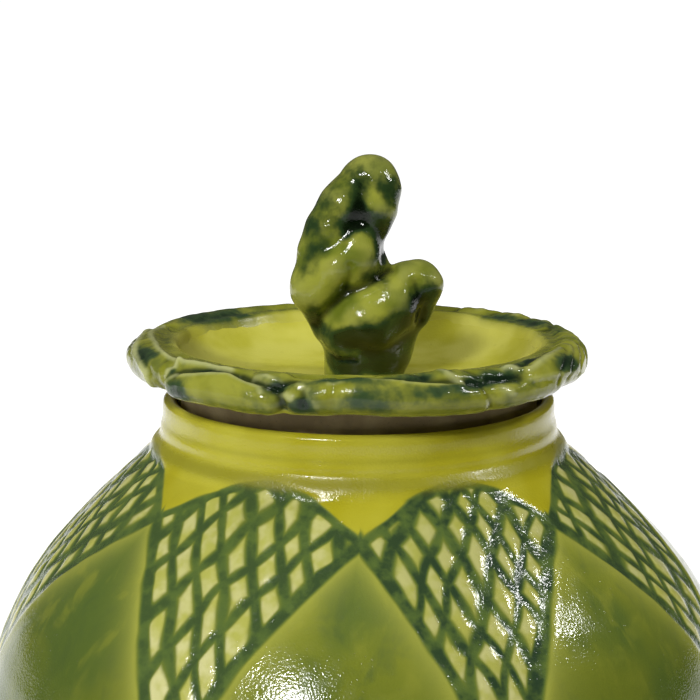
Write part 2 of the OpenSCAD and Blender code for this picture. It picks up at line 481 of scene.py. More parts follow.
def jar_glaze():
    """Leaf glaze: lime collar, mottled panels, pale cells, dark pooled cuts."""
    paint = Paint("carved_jar_glaze")
    pool, low, thick = paint.field("pool"), paint.field("low"), paint.field("thick")
    lime = paint.patchy(26.0, 2.0, (170, 162, 30), (188, 182, 58))
    streak = paint.noise(9.0, 3.0, 0.6, stretch=(1, 1, 0.22), distortion=0.4)
    cloud = paint.noise(34.0, 2.0, 0.5)
    panel = paint.mix(paint.between(cloud, 0.38, 0.62), srgb(86, 106, 46), srgb(124, 132, 40))
    panel = paint.tint(panel, (70, 92, 50), streak, 0.5, 0.72, 0, 0.55)
    panel = paint.tint(panel, (146, 150, 52), streak, 0.48, 0.3, 0, 0.5)
    # Painted shade: the panels are darkened lower down the shoulder
    panel = paint.tint(panel, (82, 96, 33), paint.math("MULTIPLY", low, 0.6))
    panel = paint.tint(panel, (168, 170, 72), paint.field("rim_light"))
    cell = paint.patchy(5.0, 2.0, (214, 211, 148), (186, 186, 92))
    cell = paint.tint(cell, (168, 170, 74), low, 0.0, 0.6, 0.3, 0.0)
    # The thick field darkens the cells and cuts of the net right of the middle
    cell = paint.tint(cell, (150, 150, 66), thick, 0.6, 1.0, 0, 0.35)
    colour = paint.mix(paint.field("lime"), panel, lime)
    colour = paint.mix(paint.field("cell"), colour, cell)
    wetness = paint.between(paint.noise(6.0, 3.0), 0.2, 0.6, 0.75, 1.0)
    wet = paint.math("MULTIPLY", pool, wetness)
    blotch = paint.between(paint.noise(6.0, 3.0, 0.6), 0.38, 0.62, 0.25, 1.0)
    colour = paint.tint(colour, (116, 126, 48), wet, 0.0, 0.6)
    colour = paint.tint(colour, (90, 112, 52), wet, 0.3, 0.95, 0, 0.95)
    deep = paint.math("MULTIPLY", paint.between(wet, 0.5, 1.0), blotch)
    deep = paint.math("MULTIPLY", deep, thick)
    colour = paint.tint(colour, (46, 66, 42), deep)
    colour = paint.tint(colour, (140, 136, 30), paint.field("foot_pool"), 0, 1, 0, 0.8)
    colour = paint.tint(colour, (140, 122, 92), paint.field("bare"))
    grit = paint.bump(paint.math("MULTIPLY", pool, paint.noise(1.3, 2.0)), 0.14)
    paint.glaze_surface(colour, under=grit)
    paint.dull(paint.field("foot_pool"), 0.25)
    paint.dull(pool, 0.04)
    return paint.material


def dish_lime(paint):
    """Pale lime of the dish, which also lines the inner side of its edge."""
    return paint.patchy(20.0, 3.0, (188, 184, 52), (212, 208, 94))


def ginger_glaze(name, pale, middle, dark, black, crest_colour, roughness):
    """Dark glaze laid over lime with a brush: black in the cuts, thin on the ridges."""
    paint = Paint(name)
    patch = paint.noise(14.0, 2.0, 0.5, distortion=0.5)
    fine = paint.noise(3.0, 2.0, 0.5)
    base = paint.patchy(9.0, 2.0, middle, pale)
    # This darkness is dark glaze laid with a brush; on the knob it also holds painted shade and painted
    # highlights
    spread = paint.math("ADD", paint.between(patch, 0.3, 0.7, 0.0, 0.6), paint.field("brushed_glaze_and_painted_light"))
    spread = paint.math("ADD", spread, paint.between(fine, 0.3, 0.7, -0.2, 0.2))
    base = paint.tint(base, dark, spread, 0.1, 1.3)
    deep = paint.math("ADD", paint.field("hollow"), paint.between(spread, 0.7, 2.0, -0.1, 0.75))
    colour = paint.tint(base, black, deep, 0.15, 1.1, 0, 0.96)
    thin = paint.math("SUBTRACT", paint.field("crest"), paint.between(spread, 0.5, 1.5, 0.0, 0.35))
    colour = paint.tint(colour, crest_colour, thin, 0.1, 1.0, 0, 0.85)
    colour = paint.mix(paint.field("lime"), colour, dish_lime(paint))
    paint.glaze_surface(colour, *roughness)
    paint.dull(paint.field("lime"), 0.4)
    return paint.material


def root_glaze():
    return ginger_glaze(
        "ginger_root_glaze", (154, 156, 58), (128, 132, 34), (60, 80, 46), (24, 40, 24),
        (194, 197, 136), (0.07, 0.18),
    )


def knob_glaze():
    return ginger_glaze(
        "ginger_knob_glaze", (154, 158, 60), (104, 116, 34), (42, 62, 30), (7, 16, 5),
        (160, 162, 84), (0.05, 0.13),
    )


def dish_glaze():
    paint = Paint("lid_dish_glaze")
    colour = paint.tint(dish_lime(paint), (130, 130, 40), paint.noise(3.0, 2.0), 0.66, 0.78, 0, 0.2)
    paint.glaze_surface(colour, 0.12, 0.25)
    return paint.material


def bare_clay():
    """Unglazed fired clay: fine grog, faint throwing rings, no gloss."""
    paint = Paint("bare_stoneware")
    colour = paint.patchy(9.0, 3.0, (128, 112, 81), (152, 136, 101))
    grain = paint.noise(0.7, 3.0, 0.7)
    colour = paint.tint(colour, (70, 58, 42), grain, 0.62, 0.74, 0, 0.6)
    paint.plug(colour, paint.shader.inputs["Base Color"])
    paint.shader.inputs["Roughness"].default_value = 0.85
    rings = paint.noise(2.2, 2.0, stretch=(0.05, 0.05, 1.0))
    turned = paint.bump(rings, 0.08)
    paint.links.new(paint.bump(grain, 0.05, under=turned), paint.shader.inputs["Normal"])
    return paint.material


# ------------------------------------------------------------------- the jar

jar_low, jar_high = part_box("jar_body")
foot_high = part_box("foot_ring")[1]
collar_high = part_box("neck_collar")[1]
BELLY_R = jar_high.x / MM - 0.15
FOOT_TOP = jar_low.z / MM
COLLAR_Z = jar_high.z / MM
LIP_Z = collar_high.z / MM
FOOT_R = foot_high.x / MM - 0.1
WALL = 6.0
BELLY_Z = 102.0
BELLY_ARC = 82.0
SHOULDER_ARC = 325.0
SHOULDER_TURN = 42.0
# Depths on the shoulder are measured down from here
DATUM_Z = LIP_Z - 3.3

# Angles at which neighbouring nets meet, from the front towards +X
MEETINGS = [-104.0, -50.0, 0.0, 46.0, 97.0, 149.0, 202.0]
MEETING_DEPTH = 20.0
PEAK_DEPTH = 9.3
PEAK_LEAN = 1.1
USUAL_SPAN = 49.5
# How far in degrees a net's left and right edge draw in, and over how much depth
LEFT_LEG = (26.0, 30.0)
RIGHT_LEG = (29.0, 23.0)
# Spacing in mm of the lines that lean one way and the other, net by net
PITCHES = [(7.4, 9.6), (7.7, 10.4), (7.2, 8.9), (7.5, 9.8), (7.8, 9.4), (7.3, 10.0), (7.6, 9.2)]
CUT_MM = 1.6
# The shoulder is a little fuller on the right
SWELL = 1.9
SWELL_AT = 85.0
SWELL_SPREAD = 45.0
SWELL_Z = 143.0
SWELL_TALL = 22.0
# The cuts and cells are darkest in the net right of the middle
DARKEST_NET_AT = 26.0
# Below this depth, which lies under the nets' tips, the mesh is coarser
PLAIN_DEPTH = 104.0
# Depths over which the line that runs on below each net's tip dies away
FADE_OUT = (168.0, 180.0)
# Mesh columns round the jar where it is carved, and mm between its rows there
FINE_COLUMNS = 1200
FINE_STEP = 0.45


def pot_arcs(inset):
    """Centres and radii of the three arcs of the pot's outline."""
    rise = BELLY_Z - FOOT_TOP
    out = BELLY_R - FOOT_R
    base = (rise**2 + out**2) / (2.0 * out)
    turn = math.radians(SHOULDER_TURN)
    belly = np.array([BELLY_R - BELLY_ARC, BELLY_Z])
    shoulder = belly - (SHOULDER_ARC - BELLY_ARC) * np.array([math.cos(turn), math.sin(turn)])
    return (
        (np.array([BELLY_R - base, BELLY_Z]), base - inset),
        (belly, BELLY_ARC - inset),
        (shoulder, SHOULDER_ARC - inset),
    )


def pot_outline(bottom, top, inset):
    """Points of the pot's outline, moved inward, from one height to another."""
    (base_c, base_r), (belly_c, belly_r), (shoulder_c, shoulder_r) = pot_arcs(inset)
    first = math.degrees(math.asin((bottom - BELLY_Z) / base_r))
    last = math.degrees(math.asin((top - shoulder_c[1]) / shoulder_r))
    return np.concatenate(
        [
            arc(base_c, base_r, first, 0.0, 160)[:-1],
            arc(belly_c, belly_r, 0.0, SHOULDER_TURN, 120)[:-1],
            arc(shoulder_c, shoulder_r, SHOULDER_TURN, last, 80),
        ]
    )


def leg_in(depth, reach, pace):
    """Degrees by which a net's edge has drawn in at this depth."""
    return reach * (1.0 - np.exp(-(depth - MEETING_DEPTH) / pace))


def net_fields(degrees, depth, radius, slope, wobble):
    """Distances in mm on the shoulder, from the outline and lines of the nets.

    degrees and depth are grids, slope is the outline's outward run per mm of
    depth, and wobble holds two noise grids that unsettle the lines.
    """
    edges = np.array(MEETINGS + [MEETINGS[0] + 360.0])
    sector = np.clip(np.searchsorted(edges, degrees, side="right") - 1, 0, len(MEETINGS) - 1)
    span = (edges[1:] - edges[:-1])[sector]
    start = edges[:-1][sector]
    per_degree = radius * math.pi / 180.0
    run = np.sqrt(1.0 + slope**2)

    depths = np.linspace(MEETING_DEPTH, 140.0, 600)
    closed = leg_in(depths, *LEFT_LEG) + leg_in(depths, *RIGHT_LEG)
    tip_depth = np.interp(USUAL_SPAN, closed, depths)

    def drawn(d, leg, span_there):
        return leg_in(np.minimum(d, tip_depth), *leg) * span_there / USUAL_SPAN

    def left(a, d):
        return (a - drawn(d, LEFT_LEG, span)) * per_degree

    def right(a, d):
        return (span - a - drawn(d, RIGHT_LEG, span)) * per_degree

    def top(a, d):
        share = np.clip(a / span, 0.0, 1.0) ** PEAK_LEAN
        bow = 1.0 - np.abs(2.0 * share - 1.0) ** 1.75
        return d - MEETING_DEPTH + (MEETING_DEPTH - PEAK_DEPTH) * bow

    def true_distance(function, a, d):
        turn, sink = 0.05, 0.05
        across = (function(a + turn, d) - function(a - turn, d)) / (2 * turn * per_degree)
        along = (function(a, d + sink) - function(a, d - sink)) / (2 * sink * run)
        return function(a, d), np.sqrt(across**2 + along**2)

    a = degrees - start
    f_left, g_left = true_distance(left, a, depth)
    f_right, g_right = true_distance(right, a, depth)
    f_top, g_top = true_distance(top, a, depth)
    d_left, d_right, d_top = f_left / g_left, f_right / g_right, f_top / g_top

    def nearest_line(value, steepness, pitch, noise, phase):
        count = value / pitch + 0.15 * noise + 0.1 * np.sin(2.1 * value / pitch + phase)
        off = np.abs(count - np.round(count))
        return off * pitch / steepness

    pitches = np.array(PITCHES)[sector]
    line = np.minimum(
        nearest_line(f_left, g_left, pitches[..., 0], wobble[0], 1.3 * sector),
        nearest_line(f_right, g_right, pitches[..., 1], wobble[1], 2.1 * sector + 1.0),
    )

    # Over a panel the next net may be the nearer one
    spans = edges[1:] - edges[:-1]
    span_before, span_after = np.roll(spans, 1)[sector], np.roll(spans, -1)[sector]
    to_before = (a + drawn(depth, RIGHT_LEG, span_before)) * per_degree / g_right
    to_after = (span - a + drawn(depth, LEFT_LEG, span_after)) * per_degree / g_left
    panel = np.where(a < 0.5 * span, np.minimum(-d_left, to_before), np.minimum(-d_right, to_after))
    return {
        "panel": panel,
        "inside": np.minimum(np.minimum(d_left, d_right), d_top),
        "outline": np.minimum(np.minimum(np.abs(d_left), np.abs(d_right)), 1.5 * np.abs(d_top)),
        "line": line,
        "top": d_top,
        "tip_depth": tip_depth,
    }


def carve(degrees, depth, radius, slope, points):
    """Height of the skin and the glaze's fields over the carved shoulder."""
    wobble = (ripple(points, 9.0, 11), ripple(points, 9.0, 12))
    net = net_fields(degrees, depth, radius, slope, wobble)
    inside, outline = net["inside"], net["outline"]
    uneven = 1.0 + 0.26 * ripple(points, 5.0, 13)
    fade = 1.0 - 0.75 * ease(depth, net["tip_depth"] + 4.0, 165.0)
    fade = fade * (1.0 - ease(depth, *FADE_OUT))
    in_net = ease(inside, -0.3, 0.8)
    line_cut = (1.0 - ease(net["line"], 0.3 * CUT_MM, 1.3 * CUT_MM * uneven)) * in_net
    edge_cut = (1.0 - ease(outline, 0.4 * CUT_MM, 1.5 * CUT_MM * uneven)) * fade
    cut = 1.0 - (1.0 - 0.9 * line_cut) * (1.0 - edge_cut)
    cell_dip = np.minimum(net["line"], inside)
    # In mm: the cuts, the nets' sunk ground, cells swelling up between the lines,
    # a soft ridge along each panel's edge, and fine unevenness in the nets
    height = (
        -0.46 * cut
        - 0.35 * ease(inside, 0.0, 3.0)
        + 0.22 * ease(cell_dip, 1.0, 3.6) * in_net
        + 0.12 * hump(-inside - 3.0, 1.8) * (inside < 0) * fade
        + 0.045 * ripple(points, 1.1, 16) * in_net
    )
    line_pool = (1.0 - ease(net["line"], 0.2 * CUT_MM, 1.4 * CUT_MM * uneven)) * in_net
    edge_pool = 1.0 - ease(outline, 0.4 * CUT_MM, 1.65 * CUT_MM * uneven)
    edge_pool = edge_pool * (0.35 + 0.65 * fade) * (fade > 0.001)
    pool = 1.0 - (1.0 - line_pool) * (1.0 - edge_pool * fade)
    outside = np.where(net["top"] < 0.0, -net["top"], net["panel"])
    above = 1.0 - ease(depth, MEETING_DEPTH - 1.5, MEETING_DEPTH + 2.0)
    height = height * (0.75 + 0.25 * ease(depth, 18.0, 44.0))
    return height, {
        "pool": pool,
        "cell": in_net * (1.0 - ease(depth, net["tip_depth"] - 6.0, net["tip_depth"] + 2.0)),
        "lime": above * (1.0 - in_net),
        "rim_light": np.exp(-np.clip(outside - 1.2, 0.0, None) / 4.2) * (0.35 + 0.65 * fade),
        "foot_pool": hump(depth - 8.6, 1.9) + 0.45 * hump(depth - 3.2, 1.0),
        # How far down the shoulder: it darkens the lower panels as painted shade and greens the upper cells
        "low": ease(depth, 28.0, 62.0),
        # Darker cuts and cells in the net right of the middle
        "thick": 0.6 + 0.4 * hump(degrees - DARKEST_NET_AT, 36.0),
    }


def make_jar():
    outer = pot_outline(FOOT_TOP, DATUM_Z - 12.0, 0.0)
    collar = rounded(
        [
            outer[-1],
            (57.2, DATUM_Z - 9.6), (55.6, DATUM_Z - 7.7), (54.75, DATUM_Z - 6.4),
            (54.95, DATUM_Z - 5.0), (54.45, DATUM_Z - 3.4), (54.15, DATUM_Z - 1.2),
            (54.15, DATUM_Z + 0.8), (53.75, DATUM_Z + 2.3), (52.2, LIP_Z),
            (50.75, LIP_Z - 0.7), (50.15, LIP_Z - 2.2), (50.1, COLLAR_Z + 3.4),
        ]
    )
    fine = spaced(np.concatenate([outer, collar[1:]]), FINE_STEP)
    # The turn from shoulder to collar is softened, as glaze fills it
    softened = soften(fine[:, :1], 1.7, 0)[:, 0]
    fine[:, 0] = np.where(np.abs(fine[:, 1] - DATUM_Z + 5.0) < 7.0, softened, fine[:, 0])
    break_row = int(np.argmin(np.abs(fine[:, 1] - (DATUM_Z - PLAIN_DEPTH))))
    low_path = spaced(fine[: break_row + 1], 1.0)[:-1]
    high_path = fine[break_row:]
    inner = np.concatenate(
        [
            [(49.9, COLLAR_Z + 3.05), (44.4, COLLAR_Z + 3.0)],
            [(44.0, COLLAR_Z + 2.6), (44.0, COLLAR_Z + 0.3)],
            pot_outline(FOOT_TOP + WALL + 1.0, COLLAR_Z, WALL)[::-1],
        ]
    )
    inner = spaced(inner, 2.0)

    jar = Builder(("pool", "cell", "lime", "rim_light", "bare", "foot_pool", "low", "thick"))

    def skin(path, columns):
        degrees = MEETINGS[0] + np.arange(columns) * 360.0 / columns
        tangent = np.gradient(path, axis=0)
        tangent /= np.linalg.norm(tangent, axis=1)[:, None]
        normal = np.stack([tangent[:, 1], -tangent[:, 0]], 1)
        radius = path[:, 0][:, None]
        height = path[:, 1][:, None]
        grid_degrees = np.broadcast_to(degrees[None, :], (len(path), columns))
        base = ring_points(radius, height, grid_degrees)
        depth = np.broadcast_to(DATUM_Z - height, grid_degrees.shape)
        rise = np.where(np.abs(tangent[:, 1]) < 0.05, 0.05, tangent[:, 1])
        slope = np.abs(tangent[:, 0] / rise)[:, None]
        bump, fields = carve(grid_degrees, depth, radius, slope, base)
        # Neither cuts nor their glaze run up onto the collar
        on_shoulder = ease(depth, 4.5, 7.5)
        bump = bump * on_shoulder
        for name in ("pool", "cell", "rim_light"):
            fields[name] = fields[name] * on_shoulder
        fields["lime"] = np.where(depth < 7.5, 1.0, fields["lime"])
        flattened = base * np.array([0.12, 0.12, 1.0])
        thrown = 0.05 * ripple(flattened, 3.0, 14) + 0.07 * ripple(base, 16.0, 15)
        bump = soften(bump, 1.4, 1.4) + thrown - 0.12
        fuller = SWELL * hump(grid_degrees - SWELL_AT, SWELL_SPREAD) * hump(height - SWELL_Z, SWELL_TALL)
        moved = radius + fuller + bump * normal[:, 0][:, None]
        raised = height + bump * normal[:, 1][:, None]
        return ring_points(moved, raised, grid_degrees), fields

    low_points, low_fields = skin(low_path, FINE_COLUMNS // 2)
    high_points, high_fields = skin(high_path, FINE_COLUMNS)
    inner_columns = FINE_COLUMNS // 4
    inner_degrees = MEETINGS[0] + np.arange(inner_columns) * 360.0 / inner_columns
    inner_points = ring_points(inner[:, :1], inner[:, 1:], inner_degrees)
    step_degrees = MEETINGS[0] + np.arange(FINE_COLUMNS // 2) * 720.0 / FINE_COLUMNS
    step_ring = jar.add_points(ring_points(50.05, COLLAR_Z + 3.2, step_degrees), {"lime": 1.0})
    base = spaced([(FOOT_R - 1.5, FOOT_TOP), (12.0, FOOT_TOP)], 4.0)
    base_points = ring_points(base[:, :1], base[:, 1:], inner_degrees)
    base_first, base_last = jar.add_grid(base_points[::-1], {"bare": 1.0})
    low_first, low_last = jar.add_grid(low_points, low_fields)
    high_first, high_last = jar.add_grid(high_points, high_fields)
    inner_first, inner_last = jar.add_grid(inner_points, {"lime": 1.0})
    jar.close(base_first, (0.0, 0.0, FOOT_TOP), {"bare": 1.0}, last=False)
    jar.join(base_last, low_first)
    jar.join(low_last, high_first)
    jar.join(high_last, step_ring)
    jar.join(step_ring, inner_first)
    jar.close(inner_last, (0.0, 0.0, FOOT_TOP + WALL + 1.0), {"lime": 1.0}, last=True)
    piece = jar.make("carved_jar")
    piece.data.materials.append(jar_glaze())
    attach(piece, "jar")
    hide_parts("jar_body", "neck_collar")


def turned(name, path, columns, step, unevenness):
    """Bare clay turned along a path that runs back to its start."""
    line = spaced(path, step)[:-1]
    degrees = np.arange(columns) * 360.0 / columns
    base = ring_points(line[:, :1], line[:, 1:], degrees)
    shift = unevenness * (ripple(base, 14.0, 31) - 1.0)
    base = ring_points(line[:, :1] + shift, line[:, 1:], degrees)
    builder = Builder(())
    first, last = builder.add_grid(base, {})
    builder.join(last, first)
    piece = builder.make(name)
    piece.data.materials.append(bare_clay())
    return piece


def make_foot():
    outer, inner, bevel = FOOT_R, FOOT_R - 10.0, 1.6
    path = np.concatenate(
        [
            [(inner, FOOT_TOP), (inner, bevel)],
            arc((inner + bevel, bevel), bevel, 180, 270, 8)[1:],
            arc((outer - bevel, bevel), bevel, 270, 360, 8),
            [(outer, FOOT_TOP), (inner, FOOT_TOP)],
        ]
    )
    piece = turned("turned_foot", path, 360, 0.8, 0.03)
    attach(piece, "jar")
    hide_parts("foot_ring")


# ------------------------------------------------------------------- the lid

flange_low, flange_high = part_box("lid_flange")
dish_low, dish_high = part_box("lid_dish")
SEAT_Z = flange_low.z / MM
FLANGE_TOP = flange_high.z / MM
FLANGE_R = flange_high.x / MM
DISH_R = dish_high.x / MM
DISH_FLOOR = FLANGE_TOP - 1.0
ROLL_R = 56.7
ROLL_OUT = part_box("rim_root_4")[1].x / MM - 0.05
ROLL_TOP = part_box("rim_root_4")[1].z / MM - 0.02
ROLL_Z = (ROLL_TOP + FLANGE_TOP + 0.4) / 2.0
# Mean radius of the roll's own section
ROLL_THICK = 5.9
# The roll swells out on its left by this much
OUT_OF_ROUND = 1.4
# Stands for a distance at which nothing is near
FAR = 50.0
BOWL = [
    (2.0, 0.0), (16.0, 0.0), (28.0, 0.05), (36.0, 0.9), (42.0, 2.6), (46.2, 5.2), (48.8, 7.9), (50.2, 9.9),
]


def make_flange():
    inner = FLANGE_R - 4.3
    path = [
        (inner, SEAT_Z + 0.02), (FLANGE_R - 0.8, SEAT_Z + 0.02), (FLANGE_R - 0.1, SEAT_Z + 0.8),
        (FLANGE_R - 0.05, FLANGE_TOP - 0.02), (inner, FLANGE_TOP - 0.02), (inner, SEAT_Z + 0.02),
    ]
    piece = turned("bare_flange", path, 480, 0.5, 0.04)
    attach(piece, "lid_seat")
    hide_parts("lid_flange")


def make_dish():
    under = dish_low.z / MM
    boss = FLANGE_R - 4.9
    floor = DISH_FLOOR
    bowl = rounded([(r, floor + rise) for r, rise in BOWL])
    side = DISH_R - 0.1
    rest_on = FLANGE_TOP + 0.02
    below = [(2.0, under), (boss, under), (boss, rest_on), (side, rest_on), (side, floor + BOWL[-1][1])]
    path = spaced(np.concatenate([below, bowl[::-1]]), 0.7)
    columns = 540
    base = ring_points(path[:, :1], path[:, 1:], np.arange(columns) * 360.0 / columns)
    off_side = np.hypot(base[..., 0], base[..., 1]) < DISH_R - 0.3
    base[..., 2] += 0.14 * ripple(base, 13.0, 21) * (ease(base[..., 2], floor - 1.0, floor) * off_side)
    builder = Builder(())
    first, last = builder.add_grid(base, {})
    builder.close(first, (0, 0, under), {}, last=False)
    builder.close(last, (0, 0, floor), {}, last=True)
    piece = builder.make("lid_dish_bowl")
    piece.data.materials.append(dish_glaze())
    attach(piece, "lid")
    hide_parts("lid_dish")


# Lengths of ginger root round the dish. Each is a list of stations: angle, how
# far its middle lies outward and upward of the roll's middle, and its radius.
# The last is a thin ring that joins them on the inside.
ROOTS = [
    [(-109, 0.0, 0.1, 4.5), (-96, 0.3, 0.0, 5.2), (-80, 0.6, 0.1, 5.4), (-66, 0.3, -0.1, 5.1),
     (-52, -0.2, -0.3, 4.2)],
    [(-58, -1.0, 0.9, 3.4), (-50, -1.3, 1.1, 4.0), (-38, -1.7, 1.0, 3.9), (-26, -1.9, 1.2, 3.4)],
    [(-55, 1.9, -1.4, 3.7), (-46, 1.4, -1.1, 4.5), (-34, 1.0, -0.5, 5.1), (-26, 1.3, -1.4, 4.5),
     (-18, 1.7, -2.2, 3.2)],
    [(-29, -0.9, 1.2, 3.2), (-23, -0.7, 1.5, 3.7), (-16, -1.0, 1.2, 3.2)],
    [(-24, -0.6, -0.9, 4.3), (-14, 0.0, -0.8, 4.7), (-4, 0.4, -0.4, 4.8)],
    [(-13, 0.6, -0.2, 4.3), (0, 0.8, 0.1, 5.1), (14, 1.1, -0.8, 4.8), (24, 1.4, -1.5, 4.3),
     (33, 1.6, -2.1, 3.3)],
    [(2, -1.9, 1.0, 3.5), (16, -1.6, 1.3, 3.8), (25, -1.1, 1.5, 3.9), (34, -1.5, 1.0, 3.6),
     (44, -1.9, 1.0, 3.3)],
    [(24, 0.9, -1.6, 3.9), (34, 1.2, -1.6, 4.1), (46, 1.1, -1.4, 4.3), (60, 1.0, -1.0, 4.4)],
    [(38, -0.6, 0.6, 3.9), (46, 0.0, 0.7, 4.3), (58, 0.4, 0.5, 5.1), (70, 0.7, 0.2, 5.5), (84, 0.6, 0.0, 5.4),
     (104, 0.2, 0.0, 5.1)],
    [(98, 0.0, 0.2, 4.9), (114, 0.1, 0.2, 5.1), (130, 0.0, 0.3, 5.0), (150, 0.2, 0.3, 4.8)],
    [(142, -0.4, -0.2, 4.7), (162, 0.2, 0.2, 5.0), (184, 0.0, 0.1, 5.1), (206, 0.0, 0.3, 5.0),
     (222, -0.2, 0.1, 4.5)],
    [(206, 0.2, -0.1, 4.8), (226, 0.4, 0.2, 5.2), (242, 0.2, 0.3, 5.2), (257, 0.1, 0.1, 4.6)],
    [(-180, -4.3, 1.0, 2.7), (180, -4.3, 1.0, 2.7)],
]
# Strokes of the modeller's tool over the roots: a path of angle round the lid and
# angle round the roll (0 outward, 90 up), height or depth in mm and half width.
STROKES = [
    ([(-98, 60), (-84, 52), (-69, 22), (-63, -2), (-62, -40)], 0.75, 1.2),
    ([(-93, 50), (-77, 40), (-64, 18), (-58, -10), (-57, -40)], -0.55, 1.7),
    ([(-104, 92), (-92, 82), (-76, 98), (-62, 84), (-50, 78), (-42, 92), (-34, 88)], 0.6, 1.1),
    ([(-54, 8), (-54, 30), (-52, 50), (-53, 82)], 0.6, 1.0),
    ([(-58, 66), (-59, 40), (-58, 12)], -0.4, 1.3),
    ([(-52, -4), (-50, 20), (-44, 32), (-38, 46), (-33, 58), (-29, 44), (-24, 28), (-23, 10)], 0.45, 0.9),
    ([(-50, 16), (-48, 42), (-43, 60), (-38, 72), (-32, 74), (-28, 54)], -0.9, 1.6),
    ([(-30, 76), (-24, 40), (-19, 20), (-18, -20), (-18, -50)], -1.0, 1.5),
    ([(-16, 80), (-19, 40), (-20, 14)], -0.9, 1.3),
    ([(-26, 66), (-23, 68), (-19, 54)], 0.4, 1.3),
    ([(-17, 4), (-16, -2)], 0.5, 1.6),
    ([(-14, 44), (-13, 36)], 0.4, 1.5),
    ([(-12, 28), (-10, -22)], 0.35, 1.4),
    ([(-13, 30), (-13, -20)], -0.7, 1.1),
    ([(-6, 40), (-6, -10)], -0.45, 1.2),
    ([(-7, 46), (0, 64), (10, 60)], 0.35, 1.0),
    ([(-4, 84), (8, 78), (16, 66), (24, 52), (30, 30)], -0.8, 1.5),
    ([(10, 50), (17, 44), (24, 26)], 0.35, 0.9),
    ([(29, 26), (30, 0), (32, -48)], -0.7, 0.9),
    ([(14, 110), (17, 70)], -0.5, 1.3),
    ([(21, 110), (22, 80), (25, 42)], 0.5, 1.2),
    ([(28, 104), (30, 70)], -0.7, 1.3),
    ([(33, 52), (37, 38), (41, 30)], -1.1, 2.0),
    ([(40, 84), (42, 72)], 0.9, 1.7),
    ([(46, 96), (47, 74)], -0.6, 1.1),
    ([(35, 6), (37, -8)], 0.4, 1.5),
    ([(42, 70), (48, 90), (56, 104), (66, 106)], -0.8, 1.3),
    ([(45, 48), (52, 66), (60, 84), (67, 86)], 0.45, 1.3),
    ([(44, 16), (53, 12), (62, 0), (74, -14)], 0.35, 1.0),
    ([(46, 8), (54, 2), (64, -12)], -0.3, 1.4),
    ([(103, 138), (103, 108), (108, 72), (106, 30)], -0.7, 1.0),
    ([(111, 104), (112, 60)], 0.5, 1.5),
    ([(119, 110), (120, 60)], -0.5, 1.2),
    ([(124, 100), (125, 60)], 0.4, 1.5),
    ([(133, 116), (131, 60)], -0.6, 1.0),
    ([(139, 100), (140, 50)], 0.35, 1.6),
    ([(147, 120), (146, 40)], -0.5, 1.1),
    ([(166, 120), (163, 20)], -0.35, 1.1),
    ([(-107, 50), (-107, 70), (-105, 94), (-101, 136)], -0.55, 0.6),
    ([(198, 110), (203, 20)], -0.3, 1.2),
]
# Close-set rings pressed across the roots on the right, where each crosses the top
RINGS = [69.5, 75.5, 82.0, 89.0, 96.5, 104.0]
# Brushed dark glaze: angle round the lid, angle round the roll, half length and
# half height in mm, and how dark; below zero keeps a place pale
PATCHES = [
    (-131, 122, 15, 6.0, 1.0), (-118, 80, 5, 4.0, 0.4), (-66, 48, 5.0, 2.4, 0.7), (-88, 30, 5.0, 2.0, 0.4),
    (-58, -25, 4.0, 2.0, -0.6), (-47, -22, 4.2, 3.0, 1.3), (-52, 30, 1.8, 1.6, 0.8),
    (-40, 62, 6.0, 1.2, 0.8), (-37, 0, 7.0, 2.4, -0.4), (17, 56, 5.0, 1.6, -0.6), (-19, 34, 3.4, 2.6, 1.0),
    (-14, -30, 3.2, 2.4, 1.1), (-16, -2, 2.0, 2.0, -0.6), (-4, 62, 8.0, 1.9, 1.2), (0, -6, 8.0, 2.6, 0.5),
    (-68, 34, 6.0, 4.0, 0.8), (-12, 12, 3.0, 5.0, 0.5), (1.5, 8, 3.0, 2.4, 0.7), (-7, 0, 3.0, 3.0, -0.4),
    (8, 14, 3.0, 3.0, -0.5), (17, 21, 8.0, 3.0, 1.1), (14, 92, 6.0, 2.0, 1.0), (29, 46, 2.6, 2.2, 1.1),
    (18, 50, 4.0, 1.2, -0.7), (35, 57, 6.0, 3.4, 1.6), (46, -2, 4.0, 1.8, 0.8), (48, 34, 3.6, 2.2, -1.0),
    (52, 100, 9.0, 1.7, 1.1), (61, 27, 5.6, 2.8, 1.5), (54, -16, 9.0, 2.0, -0.8), (76, -6, 9.0, 3.0, -0.6),
    (96, 98, 6.0, 3.2, 0.8), (112, 118, 7.0, 2.6, 0.9), (128, 126, 8.0, 2.6, 1.1),
    (120, 80, 5.0, 2.0, -0.4), (143, 112, 8.0, 3.0, -0.6), (158, 60, 10.0, 5.0, 0.9),
    (178, 90, 6.0, 4.0, -0.5), (-172, 30, 9.0, 4.0, 0.9), (-96, -20, 6.0, 4.0, 0.4),
    (-30, -40, 8.0, 1.5, 0.4),
]
DARKEST_CUT = 0.9


